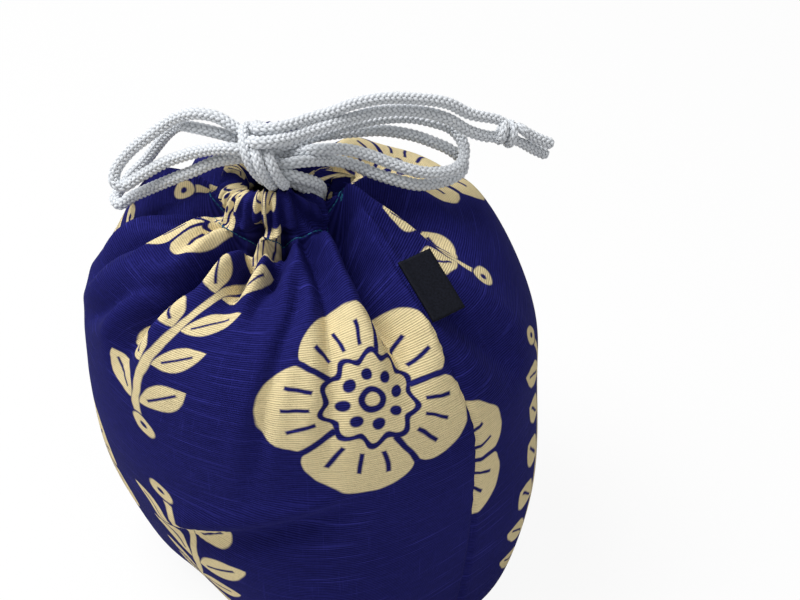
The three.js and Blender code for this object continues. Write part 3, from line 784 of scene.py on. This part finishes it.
def indigo_cotton():
    """Plain weave with thick and thin weft threads across it, printed in cream on indigo."""
    material, shader, place = new_material("indigo_cotton", Specular_IOR_Level=0.05)
    flat = place.node("ShaderNodeUVMap", {"uv_map": "flat_cloth"}, {})
    u = flat.node("ShaderNodeSeparateXYZ", {}, {"Vector": flat})
    v = Value(u.socket.node.outputs[1])

    def streaks(width, height, detail=1.0):
        """Noise on the flat cloth, drawn out to marks of this width and height."""
        stretched = u.node("ShaderNodeCombineXYZ", {}, {"X": u / width, "Y": v / height})
        return u.node("ShaderNodeTexNoise", {"noise_dimensions": "2D"},
                      {"Vector": stretched, "Scale": 1.0, "Detail": detail})

    uneven = streaks(14 * MM, 3 * MM)
    phase = v * (tau / WEFT_PITCH) + 3 * uneven
    rib = 0.5 + 0.5 * phase.math("SINE", phase)
    weft = streaks(4 * MM, WEFT_PITCH)
    warp = streaks(WARP_PITCH, 3 * MM)
    thick_weft = streaks(34 * MM, 0.8 * MM).rises(0.67, 0.78)
    thick_warp = streaks(0.8 * MM, 24 * MM).rises(0.70, 0.80)
    slub = thick_weft.most(0.3 * thick_warp)
    faded = streaks(70 * MM, 50 * MM, 2.0)
    tone = (0.3 * rib + 0.24 * weft + 0.12 * warp + 0.2 * faded + 0.42 * slub).rises(0.28, 1.05)
    dyed = tone.colours(INDIGO, INDIGO_SLUB)
    grain = 0.5 * rib + 0.35 * weft + 0.25 * warp
    printed = grain.rises(0.15, 0.75).colours([0.70 * c for c in CREAM], [1.08 * c for c in CREAM])
    motif = print_mask(u, v)
    threads = 0.6 * rib + 0.4 * weft + 0.3 * warp + 0.4 * slub
    feed(shader, Base_Color=motif.colours(dyed, printed), Roughness=0.82 + 0.12 * weft,
         Normal=u.node("ShaderNodeBump", {}, {"Strength": 0.7, "Distance": 0.4 * MM, "Height": threads}))
    return material


cloth = cloth_sheet()
give_thickness(cloth, CLOTH_THICKNESS)
cloth.data.materials.append(indigo_cotton())
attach(cloth, "root")
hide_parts("bag_body")


# Sewing thread
# Blue-green cotton thread: a row of lockstitch round the foot of the casing and a dense bar-tack across the
# foot of the slit, each stitch lying on the cloth and dipping in at its ends.
STITCH_PITCH = 2.2 * MM
STITCH_LENGTH = 2.1 * MM
THREAD_THICKNESS = 0.45 * MM
THREAD_COLOUR = (0.006, 0.085, 0.16)
THREAD_SCALE = 1800.0
CASING_STITCH = 14.15
CASING_POINTS = 1400
SLIT_EDGE = 1.5
TACK_HALF_WIDTH = 3
TACK_POINTS = 30
TACK_ROWS = 3
TACK_ROW_GAP = 0.03
TACK_PITCH = 0.9 * MM
TACK_STITCH = 1.1 * MM


def thread_line(columns, station):
    """A line along one station, half a thread above the outside of the cloth, for a row of stitches."""
    points = cloth_at(columns, station)
    inside = np.column_stack([np.full(len(points), NECK_X), np.full(len(points), NECK_Y), points[:, 2]])
    away = points - inside
    return points + 0.5 * THREAD_THICKNESS * away / np.linalg.norm(away, axis=-1)[..., None]


def stitch_rows(name, lines, pitch, length):
    """Stitches set along the lines by a node tree, then made a plain mesh."""
    curve = bpy.data.curves.new(name, "CURVE")
    curve.dimensions = "3D"
    for line in lines:
        spline = curve.splines.new("POLY")
        spline.points.add(len(line) - 1)
        spline.points.foreach_set("co", np.column_stack([line, np.ones(len(line))]).ravel())
    source = bpy.data.objects.new(name + "_line", curve)
    scene.collection.objects.link(source)
    tree = bpy.data.node_groups.new(name + "_nodes", "GeometryNodeTree")
    tree.interface.new_socket("Geometry", in_out="INPUT", socket_type="NodeSocketGeometry")
    sizes = {}
    for label, size in (("Pitch", pitch), ("Stitch Length", length), ("Thread Thickness", THREAD_THICKNESS)):
        socket = tree.interface.new_socket(label, in_out="INPUT", socket_type="NodeSocketFloat")
        sizes[socket.identifier] = size
    tree.interface.new_socket("Geometry", in_out="OUTPUT", socket_type="NodeSocketGeometry")

    def add(kind, settings, **sockets):
        """A node with these settings, its sockets set or linked."""
        node = tree.nodes.new(kind)
        for key, value in settings.items():
            setattr(node, key, value)
        for key, value in sockets.items():
            socket = node.inputs[key.replace("_", " ")]
            if isinstance(value, bpy.types.NodeSocket):
                tree.links.new(value, socket)
            else:
                socket.default_value = value
        return node

    given = add("NodeGroupInput", {}).outputs
    spaced = add("GeometryNodeResampleCurve", {"mode": "LENGTH"}, Curve=given["Geometry"],
                 Length=given["Pitch"])
    size = add("ShaderNodeCombineXYZ", {}, X=given["Stitch Length"], Y=given["Thread Thickness"],
               Z=given["Thread Thickness"])
    bead = add("GeometryNodeMeshUVSphere", {}, Segments=6, Rings=6, Radius=0.5)
    heading = add("FunctionNodeAlignRotationToVector", {"axis": "X"},
                  Vector=add("GeometryNodeInputTangent", {}).outputs["Tangent"])
    placed = add("GeometryNodeInstanceOnPoints", {}, Points=spaced.outputs["Curve"],
                 Instance=bead.outputs["Mesh"], Rotation=heading.outputs["Rotation"],
                 Scale=size.outputs["Vector"])
    solid = add("GeometryNodeRealizeInstances", {}, Geometry=placed.outputs["Instances"])
    dressed = add("GeometryNodeSetMaterial", {}, Geometry=solid.outputs["Geometry"], Material=thread)
    add("NodeGroupOutput", {}, Geometry=dressed.outputs["Geometry"])
    modifier = source.modifiers.new("stitches", "NODES")
    modifier.node_group = tree
    for identifier, value in sizes.items():
        modifier[identifier] = value
    mesh = bpy.data.meshes.new_from_object(source.evaluated_get(bpy.context.evaluated_depsgraph_get()))
    bpy.data.objects.remove(source)
    stitches = bpy.data.objects.new(name, mesh)
    scene.collection.objects.link(stitches)
    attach(stitches, "root")


def sewing_thread():
    """Twisted cotton: a blue-green, paler and darker in random patches as small as its twist, a painted
    highlight and shade.
    """
    material, shader, place = new_material("sewing_thread", Specular_IOR_Level=0.3, Roughness=0.6)
    twist = place.node("ShaderNodeTexNoise", {}, {"Vector": place, "Scale": THREAD_SCALE, "Detail": 1.0})
    # Painted highlight and shade: the thread's blue-green goes darker and paler in small random patches.
    feed(shader, Base_Color=twist.rises(0.3, 0.7).colours([0.6 * c for c in THREAD_COLOUR],
                                                          [1.9 * c for c in THREAD_COLOUR]))
    return material


thread = sewing_thread()
round_casing = np.linspace(SEAM_COLUMN + SLIT_EDGE, SEAM_COLUMN + 360 - SLIT_EDGE, CASING_POINTS)
stitch_rows("casing_stitches", [thread_line(round_casing, CASING_STITCH)], STITCH_PITCH, STITCH_LENGTH)

over_slit = np.linspace(SEAM_COLUMN - TACK_HALF_WIDTH, SEAM_COLUMN + TACK_HALF_WIDTH, TACK_POINTS)
tack = [thread_line(over_slit, SLIT_FOOT - TACK_ROW_GAP * row) for row in range(TACK_ROWS)]
stitch_rows("slit_bar_tack", tack, TACK_PITCH, TACK_STITCH)


# Label
# A bare black satin ribbon folded double and caught by one long edge in the side seam, below the slit.
LABEL_LENGTH = 24.5 * MM
LABEL_WIDTH = 12.5 * MM
LABEL_THICKNESS = 0.9 * MM
LABEL_STATION = 11.36
LABEL_SEAT = 0.3 * MM
LABEL_TURN = 10
LABEL_LIFT = 0.42
LABEL_ROWS = 24
LABEL_COLUMNS = 12
LABEL_COLOUR = (0.0035, 0.004, 0.0065)
GRAIN_SCALE = 1500.0

# The seam that gives the label its line, half its length in stations, and the patch of cloth under the label.
LABEL_END = 0.55
UNDER_COLUMNS = 26
UNDER_STATIONS = 1.2
UNDER_POINTS = 80


def label_ribbon():
    """The ribbon as a closed thin pad, straight along the seam and bent across to ride over the cloth."""
    rows, columns = LABEL_ROWS, LABEL_COLUMNS
    half = LABEL_LENGTH / 2
    low, middle, high = (cloth_at(SEAM_COLUMN, LABEL_STATION + end) for end in (-LABEL_END, 0, LABEL_END))
    down = (low - high) / np.linalg.norm(low - high)
    side = cloth_at(SEAM_COLUMN + LABEL_TURN, LABEL_STATION) - middle
    side = side - down * side.dot(down)
    side = side / np.linalg.norm(side)
    out = np.cross(down, side)
    stations = LABEL_STATION + np.linspace(-UNDER_STATIONS, UNDER_STATIONS, UNDER_POINTS)
    column, station = np.meshgrid(np.linspace(0, UNDER_COLUMNS, UNDER_POINTS), stations)
    under = cloth_at(SEAM_COLUMN + column, station).reshape(-1, 3) - middle
    under = under[np.abs(under.dot(down)) < half]
    across = np.linspace(0, LABEL_WIDTH, columns + 1)
    slack = LABEL_WIDTH / columns
    highest = [under[np.abs(under.dot(side) - place) < slack].dot(out).max() for place in across]
    rise = np.convolve(np.pad(highest, 1, "edge"), (0.25, 0.5, 0.25), "valid")
    rise = np.maximum(rise, LABEL_LIFT * across) + LABEL_SEAT
    grid = middle + np.linspace(-half, half, rows + 1)[:, None, None] * down + across[None, :, None] * side
    back = grid + rise[None, :, None] * out
    front = back + LABEL_THICKNESS * out
    points = np.vstack([front.reshape(-1, 3), back.reshape(-1, 3)])
    wide = columns + 1
    behind = len(points) // 2
    faces = []
    for r in range(rows):
        for c in range(columns):
            quad = (r * wide + c, (r + 1) * wide + c, (r + 1) * wide + c + 1, r * wide + c + 1)
            faces += [quad, tuple(behind + k for k in reversed(quad))]
    border = ([c for c in range(columns)] + [r * wide + columns for r in range(rows)]
              + [rows * wide + c for c in range(columns, 0, -1)] + [r * wide for r in range(rows, 0, -1)])
    for k, first in enumerate(border):
        second = border[(k + 1) % len(border)]
        faces.append((first, second, behind + second, behind + first))
    return new_mesh_object("label", points, faces)


def satin_ribbon():
    """Black satin with a fine grain."""
    material, shader, place = new_material("satin_ribbon", Specular_IOR_Level=0.06)
    grain = place.node("ShaderNodeTexNoise", {}, {"Vector": place, "Scale": GRAIN_SCALE, "Detail": 2.0})
    feed(shader, Base_Color=grain.rises(0.3, 0.7).colours(LABEL_COLOUR, [2.4 * c for c in LABEL_COLOUR]),
         Roughness=0.45 + 0.2 * grain,
         Normal=grain.node("ShaderNodeBump", {}, {"Strength": 0.3, "Distance": 0.2 * MM, "Height": grain}))
    return material


label = label_ribbon()
label.data.materials.append(satin_ribbon())
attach(label, "root")
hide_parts("label_tab")


# Floor and light
# A white table top under two large soft lamps, the stronger high on the left, the other in front at right.
FLOOR_COLOUR = (0.86, 0.86, 0.86)
FLOOR_GLOW = 0.92
FLOOR_REACH = 3
LAMPS = (("key", (-0.6, 0.05, 1.4), 0.9, 23), ("front", (0.4, -1.2, 1.2), 1.0, 4))
LAMP_AIM = Vector((0, 0, 0.12))
WORLD_LIGHT = 0.23


def seen_share(tree):
    """1 where the camera sees the surface, straight or mirrored, and 0 where it only lights other things."""
    path = tree.nodes.new("ShaderNodeLightPath")
    seen = Value(path.outputs["Is Camera Ray"]).most(Value(path.outputs["Is Glossy Ray"]))
    return seen.most(Value(path.outputs["Is Transmission Ray"]))


def studio_floor():
    """White paper that the camera sees almost white and that still takes the pouch's shadow."""
    material, shader, _ = new_material("studio_floor", Specular_IOR_Level=0.05, Roughness=0.9)
    shader.inputs["Base Color"].default_value = (*FLOOR_COLOUR, 1)
    tree = material.node_tree
    glow = tree.nodes.new("ShaderNodeEmission")
    blend = tree.nodes.new("ShaderNodeMixShader")
    tree.links.new((seen_share(tree) * FLOOR_GLOW).socket, blend.inputs[0])
    tree.links.new(shader.outputs[0], blend.inputs[1])
    tree.links.new(glow.outputs[0], blend.inputs[2])
    tree.links.new(blend.outputs[0], tree.nodes["Material Output"].inputs["Surface"])
    return material


floor_corners = [(x * FLOOR_REACH, y * FLOOR_REACH, 0) for x, y in ((-1, -1), (1, -1), (1, 1), (-1, 1))]
floor = new_mesh_object("floor", floor_corners, [(0, 1, 2, 3)])
floor.data.materials.append(studio_floor())

for name, place, size, power in LAMPS:
    lamp = bpy.data.objects.new(name, bpy.data.lights.new(name, "AREA"))
    lamp.data.size = size
    lamp.data.energy = power
    lamp.location = place
    lamp.rotation_euler = (LAMP_AIM - Vector(place)).to_track_quat("-Z", "Y").to_euler()
    scene.collection.objects.link(lamp)

world = bpy.data.worlds.new("studio")
scene.world = world
world.use_nodes = True
background = world.node_tree.nodes["Background"]
background.inputs["Color"].default_value = (1, 1, 1, 1)
strength = WORLD_LIGHT + (1 - WORLD_LIGHT) * seen_share(world.node_tree)
world.node_tree.links.new(strength.socket, background.inputs["Strength"])
